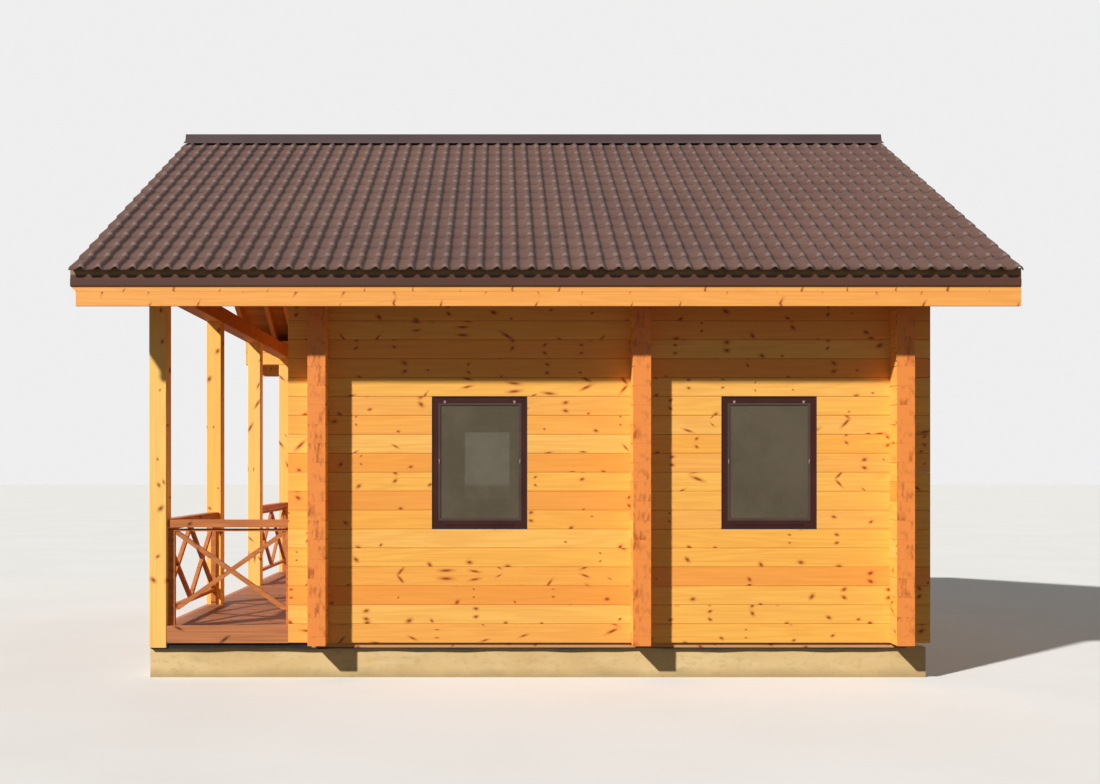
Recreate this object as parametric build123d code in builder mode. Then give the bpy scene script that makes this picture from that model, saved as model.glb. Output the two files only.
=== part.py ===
from build123d import *
import os
from math import atan2, ceil, cos, degrees, hypot, radians, tan

os.makedirs("parts", exist_ok=True)

# Main sizes in millimetres. X runs along the ridge from the porch to the rear,
# Y across the house and Z up from the ground at the foot of the plinth.
house_length = 6000
house_width = 6000
porch_depth = 1280
front_room_length = 2530
porch_overhang = 450
rear_overhang = 690
eave_overhang = 555
plinth_height = 240
plinth_inset = 38
plinth_rear_reach = 156
sill_thickness = 37
sill_inset = 20
fit = 0.3

# Planed logs, laid in courses and halved over each other at every crossing.
log_thickness = 140
log_height = 150
log_courses = 20
log_projection = 180
log_chamfer = 4
beam_courses = 2

# Openings in the log walls.
window_width = 755
window_first_course = 6
window_courses = 7
door_width = 960
doorway_width = 900
door_courses = 14

# Roof slopes, from the rafters up to the tile sheet.
roof_slope = 27.8
rafter_seat = 76
rafter_depth = 140
rafter_width = 50
rafter_spacing = 650
rafter_clearance = 20
roof_board_thickness = 22
batten_thickness = 40
batten_width = 60
tile_thickness = 38
tile_step = 14
tile_rows = 15
ridge_board_width = 50
ridge_board_depth = 200
ridge_cap_wing = 140
ridge_cap_sheet = 3
ridge_rib_height = 46
ridge_rib_foot = 48
ridge_rib_flat = 20
fascia_inset = 50
fascia_thickness = 25
fascia_drop = 303
fascia_lower_board = 109
fascia_end_step = 40
flashing_sheet = 2
flashing_face = 75
flashing_lip = 6
verge_cover = 10
barge_depth = 150

# Porch floor, posts and railings.
post_size = 140
post_chamfer = 6
post_count = 4
floor_thickness = 152
threshold_thickness = 40
deck_above_base = 103
deck_board_thickness = 28
joist_width = 60
joist_inset = 50
joist_count = 3
edge_board_thickness = 45
side_board_height = 135
rail_above_deck = 870
rail_height = 59
rail_width = 90
sub_rail_height = 20
sub_rail_width = 45
sub_rail_gap = 12
post_stile = 50
wall_stile = 25
brace_width = 35
brace_thickness = 32
brace_foot_above_deck = 155
bottom_rail_height = 30
front_crosses = 2

# Windows and door.
frame_bar = 48
frame_foot = 68
frame_depth = 70
frame_recess = 6
screen_bar = 20
screen_depth = 10
screen_recess = 2
sash_bar = 48
sash_depth = 52
pane_thickness = 24
door_frame_bar = 50
door_frame_depth = 100
door_sill = 42
door_thickness = 54
door_recess = 12
door_panel_depth = 10
door_panel_margin = 120
door_panel_rows = 3
handle_height = 1030
handle_plate_width = 36
handle_plate_length = 220
handle_plate_thickness = 7
handle_plate_drop = 40
spindle_radius = 10
spindle_length = 36
lever_length = 130
lever_width = 18
lever_height = 20
handle_rounding = 6

# Places worked out from the sizes above.
roof_length = porch_overhang + house_length + rear_overhang
porch_end = -roof_length / 2
rear_end = roof_length / 2
post_face = porch_end + porch_overhang
rear_face = rear_end - rear_overhang
half_width = house_width / 2
half_log = log_thickness / 2
half_course = log_height / 2
wall_base = plinth_height + sill_thickness
wall_top = wall_base + log_courses * log_height
rear_x = rear_face - half_log
post_x = post_face + post_size / 2
porch_wall_x = post_x + porch_depth
partition_x = porch_wall_x + front_room_length
crossings = [porch_wall_x, partition_x, rear_x]
wall_y = half_width - half_log
deck_top = wall_base + deck_above_base
deck_bottom = deck_top - deck_board_thickness
floor_top = plinth_height + floor_thickness
eave_y = half_width + eave_overhang
fascia_back = eave_y - fascia_inset - fascia_thickness
fascia_face = fascia_back + fascia_thickness
barge_back = roof_length / 2 - verge_cover - fascia_thickness

# Heights at which each roof layer would meet above the ridge line.
slope_tan = tan(radians(roof_slope))
slope_cos = cos(radians(roof_slope))
rafter_foot_apex = wall_top - rafter_seat + half_width * slope_tan
rafter_apex = rafter_foot_apex + rafter_depth / slope_cos
board_apex = rafter_apex + roof_board_thickness / slope_cos
batten_apex = board_apex + batten_thickness / slope_cos
tile_apex = batten_apex + tile_thickness / slope_cos


def roof_z(apex, y):
    """Height of a roof plane at a distance from the ridge line."""
    return apex - slope_tan * abs(y)


def lay_logs(plane, across, bottoms, height, length):
    """Parallel logs with chamfered edges, each one a solid of its own."""
    with BuildSketch(plane) as profiles:
        with Locations(*[(across, z + (height - fit) / 2) for z in bottoms]):
            Rectangle(log_thickness, height - fit)
        chamfer(profiles.vertices(), length=log_chamfer)
    extrude(profiles.sketch, amount=length)


def halve_logs(tops):
    """Cuts the lower half out of each log where another wall passes through it."""
    side = log_thickness + 2 * fit
    lowest = (Align.CENTER, Align.CENTER, Align.MAX)
    with Locations(*tops):
        Box(side, side, half_course + fit, align=lowest, mode=Mode.SUBTRACT)


def long_course(number):
    """Underside of a course in the two long walls."""
    return wall_base + number * log_height


def cross_course(number):
    """Underside of a full course in the cross walls, half a course up."""
    return wall_base + half_course + (number - 1) * log_height


def mirrored(piece):
    """The same piece on the far side of the house."""
    with BuildPart() as twin:
        mirror(piece.part, about=Plane.XZ)
    return twin


def export(piece, name):
    piece.part.label = name
    export_step(piece.part, f"parts/{name}.step")


# The plinth is one mass of concrete under the porch, the rooms and the log ends
# behind the rear wall.
plinth_length = house_length + plinth_rear_reach
with BuildPart() as plinth:
    with BuildSketch():
        with Locations((post_face + plinth_length / 2, 0)):
            Rectangle(plinth_length, house_width - 2 * plinth_inset)
    extrude(amount=plinth_height)
export(plinth, "plinth")

# Sill boards keep the logs off the plinth, set back under every wall and under
# the edge of the porch floor.
sill_width = log_thickness - 2 * sill_inset
post_pitch = (house_width - post_size) / (post_count - 1)
post_ys = [-wall_y + n * post_pitch for n in range(post_count)]
bay_middles = [y + post_pitch / 2 for y in post_ys[:-1]]
bay_width = post_pitch - post_size
post_back = post_x + post_size / 2
long_sill_start = post_back + fit
long_sill_end = rear_face - sill_inset
with BuildPart() as sill_boards:
    with BuildSketch(Plane.XY.offset(plinth_height)):
        with Locations(((long_sill_start + long_sill_end) / 2, 0)):
            with GridLocations(1, 2 * wall_y, 1, 2):
                Rectangle(long_sill_end - long_sill_start, sill_width)
        with Locations(*[(x, 0) for x in crossings]):
            Rectangle(sill_width, 2 * wall_y - sill_width - 2 * fit)
        with Locations(*[(post_x, y) for y in bay_middles]):
            Rectangle(sill_width, bay_width - 2 * fit)
    extrude(amount=sill_thickness)
export(sill_boards, "sill_boards")

# Long walls. Courses beside the windows are short lengths, and the top courses
# run on past the porch posts and the rear wall to carry the roof overhangs.
wall_start = porch_wall_x - half_log - log_projection
wall_end = rear_x + half_log + log_projection
beam_reach = barge_back - fit
window_centres = [(porch_wall_x + partition_x) / 2, (partition_x + rear_x) / 2]
window_top_course = window_first_course + window_courses
first_beam_course = log_courses - beam_courses
pier_edges = [wall_start]
for centre in window_centres:
    pier_edges += [centre - window_width / 2, centre + window_width / 2]
pier_edges.append(wall_end)

with BuildPart() as near_wall_logs:
    whole_courses = [n for n in range(first_beam_course) if not window_first_course <= n < window_top_course]
    whole_bottoms = [long_course(n) for n in whole_courses]
    lay_logs(Plane.YZ.offset(wall_start), -wall_y, whole_bottoms, log_height, wall_end - wall_start)
    pier_bottoms = [long_course(n) for n in range(window_first_course, window_top_course)]
    for start, end in zip(pier_edges[::2], pier_edges[1::2]):
        lay_logs(Plane.YZ.offset(start), -wall_y, pier_bottoms, log_height, end - start)
    beam_bottoms = [long_course(n) for n in range(first_beam_course, log_courses)]
    lay_logs(Plane.YZ.offset(-beam_reach), -wall_y, beam_bottoms, log_height, 2 * beam_reach)
    for x in crossings:
        halve_logs([(x, -wall_y, long_course(n) + half_course) for n in range(log_courses)])
    halve_logs([(post_x, -wall_y, long_course(log_courses - 1) + half_course)])
export(near_wall_logs, "near_wall_logs")
far_wall_logs = mirrored(near_wall_logs)
export(far_wall_logs, "far_wall_logs")

# Cross walls start with a half log, so that their courses break joint with the
# long walls. A doorway splits its courses into two piers.
log_reach = half_width + log_projection
last_cross_course = log_courses - 1
door_head = cross_course(1 + door_courses)
door_foot = cross_course(1)


def cross_wall(x, opening):
    """All courses of one cross wall, with a doorway of the given width or none."""
    split_courses = range(1, 1 + door_courses) if opening else []
    whole_courses = range(len(split_courses) + 1, last_cross_course + 1)
    pier_length = log_reach - opening / 2
    with BuildPart() as wall:
        lay_logs(Plane.XZ.offset(-log_reach), x, [wall_base], half_course, 2 * log_reach)
        whole_bottoms = [cross_course(n) for n in whole_courses]
        lay_logs(Plane.XZ.offset(-log_reach), x, whole_bottoms, log_height, 2 * log_reach)
        if opening:
            split_bottoms = [cross_course(n) for n in split_courses]
            lay_logs(Plane.XZ.offset(-log_reach), x, split_bottoms, log_height, pier_length)
            lay_logs(Plane.XZ.offset(opening / 2), x, split_bottoms, log_height, pier_length)
        for y in (wall_y, -wall_y):
            halve_logs([(x, y, cross_course(n) + half_course) for n in range(1, last_cross_course + 1)])
    return wall


porch_wall_logs = cross_wall(porch_wall_x, door_width)
export(porch_wall_logs, "porch_wall_logs")
partition_logs = cross_wall(partition_x, doorway_width)
export(partition_logs, "partition_logs")
rear_wall_logs = cross_wall(rear_x, 0)
export(rear_wall_logs, "rear_wall_logs")

# Gables carry the cross-wall courses on up to the roof boards, with their ends
# cut to the slope and a slot for the ridge board.
gable_base = cross_course(last_cross_course + 1)
gable_apex = rafter_apex - fit
gable_courses = ceil((gable_apex - gable_base) / log_height)
gable_half = (gable_apex - gable_base) / slope_tan
ridge_board_top = roof_z(gable_apex, ridge_board_width / 2)


def gable(x):
    """Log courses above one end wall, trimmed to the underside of the roof boards."""
    bottoms = [gable_base + n * log_height for n in range(gable_courses)]
    with BuildPart() as logs:
        lay_logs(Plane.XZ.offset(-log_reach), x, bottoms, log_height, 2 * log_reach)
        halve_logs([(x, y, gable_base + half_course) for y in (wall_y, -wall_y)])
        with BuildSketch(Plane.YZ.offset(x - log_thickness)):
            with BuildLine():
                Polyline((-gable_half, gable_base), (gable_half, gable_base), (0, gable_apex), close=True)
            make_face()
            with Locations((0, ridge_board_top)):
                Rectangle(ridge_board_width + 2 * fit, 2 * (ridge_board_depth + fit), mode=Mode.SUBTRACT)
        extrude(amount=2 * log_thickness, mode=Mode.INTERSECT)
    return logs


porch_gable_logs = gable(porch_wall_x)
export(porch_gable_logs, "porch_gable_logs")
rear_gable_logs = gable(rear_x)
export(rear_gable_logs, "rear_gable_logs")

# Room floors lie on the plinth between the walls, with a threshold in the
# doorway between them.
room_width = 2 * (wall_y - half_log - fit)
with BuildPart() as room_floors:
    with BuildSketch(Plane.XY.offset(plinth_height)):
        for start, end in zip(crossings, crossings[1:]):
            with Locations(((start + end) / 2, 0)):
                Rectangle(end - start - log_thickness - 2 * fit, room_width)
    extrude(amount=floor_thickness)
    with BuildSketch(Plane.XY.offset(floor_top - threshold_thickness)):
        with Locations((partition_x, 0)):
            Rectangle(log_thickness, doorway_width - 2 * fit)
    extrude(amount=threshold_thickness)
export(room_floors, "room_floors")

# Porch posts stand on the plinth. The corner posts end under the long beams, and
# the middle pair under the tie beam that lies across the front.
beam_bottom = long_course(first_beam_course)
tie_bottom = cross_course(last_cross_course)
with BuildPart() as porch_posts:
    for y in post_ys:
        post_top = beam_bottom if abs(y) == wall_y else tie_bottom
        with BuildSketch(Plane.XY.offset(plinth_height)) as post_section:
            with Locations((post_x, y)):
                Rectangle(post_size, post_size)
            chamfer(post_section.vertices(), length=post_chamfer)
        extrude(amount=post_top - plinth_height - fit)
export(porch_posts, "porch_posts")

with BuildPart() as porch_tie_beam:
    lay_logs(Plane.XZ.offset(-log_reach), post_x, [tie_bottom], log_height, 2 * log_reach)
    halve_logs([(post_x, y, tie_bottom + half_course) for y in (wall_y, -wall_y)])
export(porch_tie_beam, "porch_tie_beam")

# Porch floor: edge boards between the posts, joists on the plinth and the deck.
side_board_start = post_back + fit
side_board_length = wall_start - fit - side_board_start
with BuildPart() as porch_edge_boards:
    with BuildSketch(Plane.XY.offset(wall_base)):
        with Locations((side_board_start + side_board_length / 2, 0)):
            with GridLocations(1, house_width - edge_board_thickness, 1, 2):
                Rectangle(side_board_length, edge_board_thickness)
    extrude(amount=side_board_height)
    with BuildSketch(Plane.XY.offset(wall_base)):
        with Locations(*[(post_face + edge_board_thickness / 2, y) for y in bay_middles]):
            Rectangle(edge_board_thickness, bay_width - 2 * fit)
    extrude(amount=deck_above_base)
export(porch_edge_boards, "porch_edge_boards")

porch_wall_face = porch_wall_x - half_log
joist_span = porch_wall_face - post_back - 2 * joist_inset
with BuildPart() as porch_joists:
    with BuildSketch(Plane.XY.offset(plinth_height)):
        with Locations(((porch_wall_face + post_back) / 2, 0)):
            with GridLocations(joist_span / (joist_count - 1), 1, joist_count, 1):
                Rectangle(joist_width, room_width)
    extrude(amount=deck_bottom - plinth_height)
export(porch_joists, "porch_joists")

deck_start = post_face + edge_board_thickness + fit
deck_end = porch_wall_face - fit
with BuildPart() as porch_deck:
    with BuildSketch(Plane.XY.offset(deck_bottom)):
        with Locations(((deck_start + deck_end) / 2, 0)):
            Rectangle(deck_end - deck_start, house_width - 2 * edge_board_thickness - 2 * fit)
        with Locations(*[(post_x, y) for y in post_ys]):
            Rectangle(post_size + 2 * fit, post_size + 2 * fit, mode=Mode.SUBTRACT)
        with Locations(((wall_start + deck_end) / 2, 0)):
            with GridLocations(1, 2 * wall_y, 1, 2):
                Rectangle(deck_end - wall_start + 2 * fit, log_thickness + 2 * fit, mode=Mode.SUBTRACT)
    extrude(amount=deck_board_thickness)
export(porch_deck, "porch_deck")

# Railings with crossed braces. The two braces of a cross are halved into each
# other, and their ends are cut to the panel that they stand in.
rail_top = deck_top + rail_above_deck
rail_bottom = rail_top - rail_height
sub_rail_top = rail_bottom - sub_rail_gap
sub_rail_bottom = sub_rail_top - sub_rail_height
cross_top = sub_rail_bottom - fit
cross_foot = deck_top + brace_foot_above_deck


def bar(plane, left, right, bottom, top, width):
    """A straight rail or stile centred on the railing's plane."""
    with BuildSketch(plane.offset(-width / 2)) as face:
        with Locations(((left + right) / 2, (bottom + top) / 2)):
            Rectangle(right - left, top - bottom)
    extrude(face.sketch, amount=width)


def brace_outline(left, right, slant, clearance):
    """One brace from corner to corner of its panel, trimmed to the panel."""
    width = right - left
    height = cross_top - cross_foot
    turn = slant * degrees(atan2(height, width))
    with Locations(((left + right) / 2, (cross_foot + cross_top) / 2)):
        Rectangle(hypot(width, height) + brace_width, brace_width + 2 * clearance, rotation=turn)
        Rectangle(width, height, mode=Mode.INTERSECT)


def crossed_braces(plane, left, right):
    """A rising brace in front, halved over a falling one behind it."""
    half = brace_thickness / 2
    with BuildSketch(plane.offset(-half)) as rising:
        brace_outline(left, right, 1, 0)
    extrude(rising.sketch, amount=brace_thickness)
    with BuildSketch(plane.offset(-half)) as lap:
        brace_outline(left, right, -1, fit)
    extrude(lap.sketch, amount=half + fit / 2, mode=Mode.SUBTRACT)
    with BuildSketch(plane.offset(-half)) as falling_ends:
        brace_outline(left, right, -1, 0)
        with BuildSketch(mode=Mode.SUBTRACT):
            brace_outline(left, right, 1, fit)
    extrude(falling_ends.sketch, amount=brace_thickness)
    with BuildSketch(plane.offset(-half)) as falling:
        brace_outline(left, right, -1, 0)
    extrude(falling.sketch, amount=half - fit / 2)


def railing(plane, left, right, stile_foot, stiles, crosses, bottom_rail):
    """A railing between two uprights, measured along its plane's own axis."""
    start = left + fit
    end = right - fit
    inner_start = start + stiles[0] + fit
    inner_end = end - stiles[1] - fit
    panel = (inner_end - inner_start + fit) / crosses
    stile_top = sub_rail_bottom - fit
    with BuildPart() as barrier:
        bar(plane, start, end, rail_bottom, rail_top, rail_width)
        bar(plane, start, end, sub_rail_bottom, sub_rail_top, sub_rail_width)
        bar(plane, start, start + stiles[0], stile_foot + fit, stile_top, sub_rail_width)
        bar(plane, end - stiles[1], end, stile_foot + fit, stile_top, sub_rail_width)
        if bottom_rail:
            foot = cross_foot - fit
            bar(plane, inner_start, inner_end, foot - bottom_rail_height, foot, sub_rail_width)
        for n in range(crosses):
            crossed_braces(plane, inner_start + n * panel, inner_start + (n + 1) * panel - fit)
    return barrier


side_plane = Plane.XZ.offset(wall_y)
side_stiles = (post_stile, wall_stile)
side_stile_foot = wall_base + side_board_height
near_railing = railing(side_plane, post_back, wall_start, side_stile_foot, side_stiles, 1, False)
export(near_railing, "near_railing")
far_railing = mirrored(near_railing)
export(far_railing, "far_railing")

front_plane = Plane.YZ.offset(post_x)
front_stiles = (wall_stile, wall_stile)
bay_start = post_ys[0] + post_size / 2
front_railing_near = railing(
    front_plane, bay_start, bay_start + bay_width, deck_top, front_stiles, front_crosses, True
)
export(front_railing_near, "front_railing_near")
front_railing_far = mirrored(front_railing_near)
export(front_railing_far, "front_railing_far")

# Rafters lean on the ridge board and are notched over the top logs. They stand
# evenly from verge to tie beam and from wall to wall, clear of the log ends.
verge_rafter_x = beam_reach - rafter_width / 2
wall_clear = half_log + rafter_clearance + rafter_width / 2
rafter_stops = [-verge_rafter_x]
for x in [post_x] + crossings:
    rafter_stops += [x - wall_clear, x + wall_clear]
rafter_stops.append(verge_rafter_x)
rafter_xs = []
for start, end in zip(rafter_stops[::2], rafter_stops[1::2]):
    gaps = ceil((end - start) / rafter_spacing)
    rafter_xs += [start + (end - start) * n / gaps for n in range(gaps + 1)]
tail_y = fascia_back - fit
seat_y = (rafter_foot_apex - wall_top) / slope_tan
heel_y = half_width + fit
butt_y = ridge_board_width / 2 + fit
with BuildPart() as rafters:
    for x in rafter_xs:
        with BuildSketch(Plane.YZ.offset(x - rafter_width / 2)):
            for side in (-1, 1):
                with BuildLine():
                    Polyline(
                        (side * tail_y, roof_z(gable_apex, tail_y)),
                        (side * butt_y, roof_z(gable_apex, butt_y)),
                        (side * butt_y, roof_z(rafter_foot_apex, butt_y)),
                        (side * seat_y, wall_top),
                        (side * heel_y, wall_top),
                        (side * heel_y, roof_z(rafter_foot_apex, heel_y)),
                        (side * tail_y, roof_z(rafter_foot_apex, tail_y)),
                        close=True,
                    )
                make_face()
        extrude(amount=rafter_width)
export(rafters, "rafters")

with BuildPart() as ridge_board:
    with BuildSketch(Plane.YZ.offset(-beam_reach)):
        with Locations((0, ridge_board_top - ridge_board_depth / 2)):
            Rectangle(ridge_board_width, ridge_board_depth)
    extrude(amount=2 * beam_reach)
export(ridge_board, "ridge_board")


def slope_layer(inner_y, outer_y, low_apex, high_apex, reach):
    """A flat layer of the near slope between two roof planes, with plumb edges."""
    with BuildSketch(Plane.YZ.offset(-reach)) as profile:
        with BuildLine():
            Polyline(
                (-inner_y, roof_z(low_apex, inner_y)),
                (-outer_y, roof_z(low_apex, outer_y)),
                (-outer_y, roof_z(high_apex, outer_y)),
                (-inner_y, roof_z(high_apex, inner_y)),
                close=True,
            )
        make_face()
    extrude(profile.sketch, amount=2 * reach)


with BuildPart() as roof_boards_near:
    slope_layer(fit, fascia_face, rafter_apex, board_apex, beam_reach)
export(roof_boards_near, "roof_boards_near")
roof_boards_far = mirrored(roof_boards_near)
export(roof_boards_far, "roof_boards_far")

# A batten stands under the foot of each tile row. The lowest one is thinner by
# the eave flashing that laps over it.
row_run = eave_y / tile_rows
row_feet = [eave_y - n * row_run for n in range(tile_rows)]
batten_run = batten_width * slope_cos
lap_apex = batten_apex - fit - flashing_sheet / slope_cos
with BuildPart() as tile_battens_near:
    slope_layer(fascia_face - batten_run, fascia_face, board_apex + fit, lap_apex - fit, beam_reach)
    for foot in row_feet[1:]:
        slope_layer(foot - 2 * batten_run, foot - batten_run, board_apex + fit, batten_apex - fit, beam_reach)
export(tile_battens_near, "tile_battens_near")
tile_battens_far = mirrored(tile_battens_near)
export(tile_battens_far, "tile_battens_far")

# Sheet tiles. Each row starts on the low plane and ends a step above the next.
low_tile_apex = tile_apex - tile_step / slope_cos
tile_line = [(-fit, roof_z(low_tile_apex, fit))]
for foot in reversed(row_feet):
    tile_line += [(-foot, roof_z(tile_apex, foot)), (-foot, roof_z(low_tile_apex, foot))]
tile_line[-1] = (-eave_y, roof_z(batten_apex, eave_y))
tile_line.append((-fit, roof_z(batten_apex, fit)))
with BuildPart() as roof_tiles_near:
    with BuildSketch(Plane.YZ.offset(porch_end)):
        with BuildLine():
            Polyline(*tile_line, close=True)
        make_face()
    extrude(amount=roof_length)
export(roof_tiles_near, "roof_tiles_near")
roof_tiles_far = mirrored(roof_tiles_near)
export(roof_tiles_far, "roof_tiles_far")

# The ridge cap is a folded sheet with a wing on each slope and a hollow rib.
cap_run = ridge_cap_wing * slope_cos
cap_seat = tile_step / slope_cos * (1 - cap_run / row_run)
cap_under = tile_apex - cap_seat + fit
cap_over = cap_under + ridge_cap_sheet / slope_cos
rib_top = tile_apex + ridge_rib_height
outer_rib = [
    (cap_run, roof_z(cap_over, cap_run)),
    (ridge_rib_foot, roof_z(cap_over, ridge_rib_foot)),
    (ridge_rib_flat, rib_top),
]
inner_foot = ridge_rib_foot - ridge_cap_sheet
inner_flat = ridge_rib_flat - ridge_cap_sheet / 2
inner_rib = [
    (inner_flat, rib_top - ridge_cap_sheet),
    (inner_foot, roof_z(cap_under, inner_foot)),
    (cap_run, roof_z(cap_under, cap_run)),
]
with BuildPart() as ridge_cap:
    with BuildSketch(Plane.YZ.offset(porch_end)) as cap_section:
        with BuildLine():
            Polyline(*outer_rib, (0, rib_top), (0, rib_top - ridge_cap_sheet), *inner_rib, close=True)
        make_face()
        mirror(about=Plane.YZ)
    extrude(amount=roof_length)
export(ridge_cap, "ridge_cap")

# Eaves: a fascia of two boards, and a metal flashing folded down over it. The
# lower board stops short of the porch end and the upper one is cut on a slant.
fascia_bottom = roof_z(tile_apex, eave_y) - fascia_drop
fascia_split = fascia_bottom + fascia_lower_board
fascia_top = roof_z(gable_apex, fascia_face)
fascia_start = porch_end + fascia_end_step
flashing_bottom = fascia_split + fascia_end_step
with BuildPart() as fascia_near:
    with BuildSketch(Plane.XZ.offset(fascia_back)):
        with BuildLine():
            Polyline(
                (fascia_start, fascia_bottom),
                (rear_end, fascia_bottom),
                (rear_end, fascia_split - fit),
                (fascia_start, fascia_split - fit),
                close=True,
            )
        make_face()
        with BuildLine():
            Polyline(
                (fascia_start, fascia_split),
                (rear_end, fascia_split),
                (rear_end, fascia_top),
                (porch_end, fascia_top),
                (porch_end, flashing_bottom),
                close=True,
            )
        make_face()
    extrude(amount=fascia_thickness)
export(fascia_near, "fascia_near")
fascia_far = mirrored(fascia_near)
export(fascia_far, "fascia_far")

flashing_back = fascia_face + fit
flashing_front = flashing_back + flashing_sheet
flashing_fold = roof_z(lap_apex + flashing_sheet / slope_cos, flashing_front)
lip_top = flashing_fold - flashing_face
with BuildPart() as eave_flashing_near:
    slope_layer(
        fascia_face - batten_run, flashing_front, lap_apex, lap_apex + flashing_sheet / slope_cos, beam_reach
    )
    with BuildSketch(Plane.YZ.offset(porch_end)):
        with BuildLine():
            Polyline(
                (-flashing_back, flashing_bottom),
                (-flashing_front - flashing_lip, flashing_bottom),
                (-flashing_front - flashing_lip, lip_top - flashing_lip),
                (-flashing_front, lip_top),
                (-flashing_front, flashing_fold),
                (-flashing_back, flashing_fold),
                close=True,
            )
        make_face()
    extrude(amount=roof_length)
export(eave_flashing_near, "eave_flashing_near")
eave_flashing_far = mirrored(eave_flashing_near)
export(eave_flashing_far, "eave_flashing_far")

# Barge boards close both verges under the tiles and meet on a plumb joint.
barge_top_apex = batten_apex - fit
barge_foot_apex = barge_top_apex - barge_depth / slope_cos
barge_y = fascia_back - fit


def barge_boards(start):
    """The pair of boards along one verge."""
    with BuildPart() as boards:
        with BuildSketch(Plane.YZ.offset(start)):
            for side in (-1, 1):
                with BuildLine():
                    Polyline(
                        (side * fit, roof_z(barge_top_apex, fit)),
                        (side * barge_y, roof_z(barge_top_apex, barge_y)),
                        (side * barge_y, roof_z(barge_foot_apex, barge_y)),
                        (side * fit, roof_z(barge_foot_apex, fit)),
                        close=True,
                    )
                make_face()
        extrude(amount=fascia_thickness)
    return boards


barge_boards_porch = barge_boards(-barge_back - fascia_thickness)
export(barge_boards_porch, "barge_boards_porch")
barge_boards_rear = barge_boards(barge_back)
export(barge_boards_rear, "barge_boards_rear")

# Windows: a fixed frame in each opening, a sash with its pane and, in front of
# the sash, the light frame of an insect screen.
window_foot = long_course(window_first_course) - fit
window_height = window_courses * log_height + fit
frame_width = window_width - 2 * fit
frame_height = window_height - 2 * fit
light_width = frame_width - 2 * frame_bar
light_height = frame_height - frame_bar - frame_foot
light_z = window_foot + fit + frame_foot + light_height / 2
sash_width = light_width - 2 * fit
sash_height = light_height - 2 * fit
pane_width = sash_width - 2 * sash_bar
pane_height = sash_height - 2 * sash_bar
sash_recess = frame_recess + screen_recess + screen_depth + fit
pane_recess = sash_recess + (sash_depth - pane_thickness) / 2


def window_pieces(recess, depth, outline, hole):
    """One piece in each of the four window openings, with a light through it."""
    with BuildPart() as pieces:
        for side in (-1, 1):
            with BuildSketch(Plane.XZ.offset(-side * (half_width - recess))):
                for x in window_centres:
                    width, height, z = outline
                    with Locations((x, z)):
                        Rectangle(width, height)
                    if hole:
                        with Locations((x, light_z)):
                            Rectangle(*hole, mode=Mode.SUBTRACT)
            extrude(amount=side * depth)
    return pieces


frame_outline = (frame_width, frame_height, window_foot + window_height / 2)
window_frames = window_pieces(frame_recess, frame_depth, frame_outline, (light_width, light_height))
export(window_frames, "window_frames")

sash_outline = (sash_width, sash_height, light_z)
screen_hole = (sash_width - 2 * screen_bar, sash_height - 2 * screen_bar)
screen_face = frame_recess + screen_recess
window_screens = window_pieces(screen_face, screen_depth, sash_outline, screen_hole)
export(window_screens, "window_screens")

window_sashes = window_pieces(sash_recess, sash_depth, sash_outline, (pane_width, pane_height))
export(window_sashes, "window_sashes")

pane_outline = (pane_width - 2 * fit, pane_height - 2 * fit, light_z)
window_panes = window_pieces(pane_recess, pane_thickness, pane_outline, None)
export(window_panes, "window_panes")

# Entrance door in the porch wall, behind the open bay.
door_frame_width = door_width - 2 * fit
door_frame_height = door_head - door_foot - 2 * fit
leaf_width = door_frame_width - 2 * door_frame_bar - 2 * fit
leaf_height = door_frame_height - door_frame_bar - door_sill - 2 * fit
leaf_z = door_foot + 2 * fit + door_sill + leaf_height / 2
door_frame_face = porch_wall_face + frame_recess
with BuildPart() as door_frame:
    with BuildSketch(Plane.YZ.offset(door_frame_face)):
        with Locations((0, door_foot + fit + door_frame_height / 2)):
            Rectangle(door_frame_width, door_frame_height)
        with Locations((0, leaf_z)):
            Rectangle(leaf_width + 2 * fit, leaf_height + 2 * fit, mode=Mode.SUBTRACT)
    extrude(amount=door_frame_depth)
export(door_frame, "door_frame")

leaf_face = door_frame_face + door_recess
leaf_back = leaf_face + door_thickness
panel_pitch = (leaf_height - door_panel_margin) / door_panel_rows
with BuildPart() as entrance_door:
    with BuildSketch(Plane.YZ.offset(leaf_face)):
        with Locations((0, leaf_z)):
            Rectangle(leaf_width, leaf_height)
    extrude(amount=door_thickness)
    for depth in (leaf_face, leaf_back - door_panel_depth):
        with BuildSketch(Plane.YZ.offset(depth)):
            with Locations((0, leaf_z)):
                with GridLocations(1, panel_pitch, 1, door_panel_rows):
                    Rectangle(leaf_width - 2 * door_panel_margin, panel_pitch - door_panel_margin)
        extrude(amount=door_panel_depth, mode=Mode.SUBTRACT)
export(entrance_door, "entrance_door")

# Lever handle on a long plate, near the free edge of the door.
handle_y = leaf_width / 2 - door_panel_margin / 2
handle_z = floor_top + handle_height
plate_face = leaf_face - fit - handle_plate_thickness
lever_x = plate_face - spindle_length
with BuildPart() as door_handle:
    with BuildSketch(Plane.YZ.offset(plate_face)):
        with Locations((handle_y, handle_z - handle_plate_drop)):
            RectangleRounded(handle_plate_width, handle_plate_length, 2 * handle_rounding)
    extrude(amount=handle_plate_thickness)
    with BuildSketch(Plane.YZ.offset(lever_x)):
        with Locations((handle_y, handle_z)):
            Circle(spindle_radius)
    extrude(amount=spindle_length)
    with BuildSketch(Plane.XZ.offset(-handle_y - spindle_radius)):
        with Locations((lever_x, handle_z)):
            RectangleRounded(lever_width, lever_height, handle_rounding)
    extrude(amount=lever_length)
export(door_handle, "door_handle")
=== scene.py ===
import math

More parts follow.
